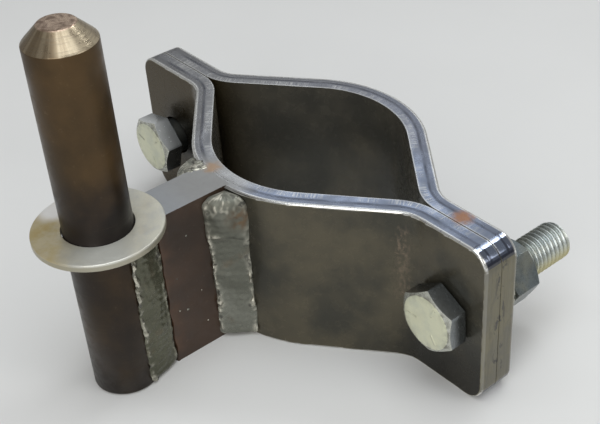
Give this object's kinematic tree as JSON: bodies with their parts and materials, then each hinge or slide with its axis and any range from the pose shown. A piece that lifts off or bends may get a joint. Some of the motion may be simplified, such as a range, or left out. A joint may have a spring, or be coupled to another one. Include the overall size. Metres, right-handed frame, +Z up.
{
  "type": "clamp-on gate hinge",
  "caption": "Gate hinge pin with a seat washer, welded by a thick arm to a two-piece bolted strap clamp that grips a round post.",
  "frame": {"origin": "on the hinge pin's axis, on top of the seat washer, where a gate's barrel comes to rest", "axes": "+Z up along the hinge pin, +Y from the pin to the post along the bolts, +X along the clamp's ears"},
  "size_m": [0.2101, 0.1726, 0.1508],
  "materials": {
    "pin_steel": "dark brown oxide, turned bright at the top cone",
    "washer_zinc": "cream grey zinc plate",
    "arm_steel": "reddish brown mill scale with bright cut edges",
    "weld_metal": "grey weld bead with crusted edges",
    "strap_steel": "olive grey mill scale with bright striated cut edges",
    "bolt_zinc": "pale zinc plate"
  },
  "bodies": {
    "pin_half": {"hinge_pin": "pin_steel", "seat_washer": "washer_zinc", "arm": "arm_steel", "pin_welds": "weld_metal", "clamp_welds": "weld_metal", "front_clamp": "strap_steel", "bolt_left": "bolt_zinc", "bolt_right": "bolt_zinc"},
    "rear_half": {"rear_clamp": "strap_steel", "lock_washer_left": "bolt_zinc", "lock_washer_right": "bolt_zinc"},
    "left_nut": {"nut_left": "bolt_zinc"},
    "right_nut": {"nut_right": "bolt_zinc"}
  },
  "joints": [
    {"name": "clamp_slide", "type": "slide", "parent": "pin_half", "child": "rear_half", "axis": [0, 1, 0], "range_m": [0, 0.02]},
    {"name": "left_nut_turn", "type": "hinge", "parent": "rear_half", "child": "left_nut", "pos_m": [-0.08346, 0.11706, -0.0373], "axis": [0, 1, 0], "range_deg": [0, 3118]},
    {"name": "right_nut_turn", "type": "hinge", "parent": "rear_half", "child": "right_nut", "pos_m": [0.08816, 0.11706, -0.0373], "axis": [0, 1, 0], "range_deg": [0, 3118]}
  ],
  "couplings": [
    {"joint": "left_nut_turn", "follows": "clamp_slide", "rad_per_m": 2721.1},
    {"joint": "right_nut_turn", "follows": "clamp_slide", "rad_per_m": 2721.1}
  ]
}
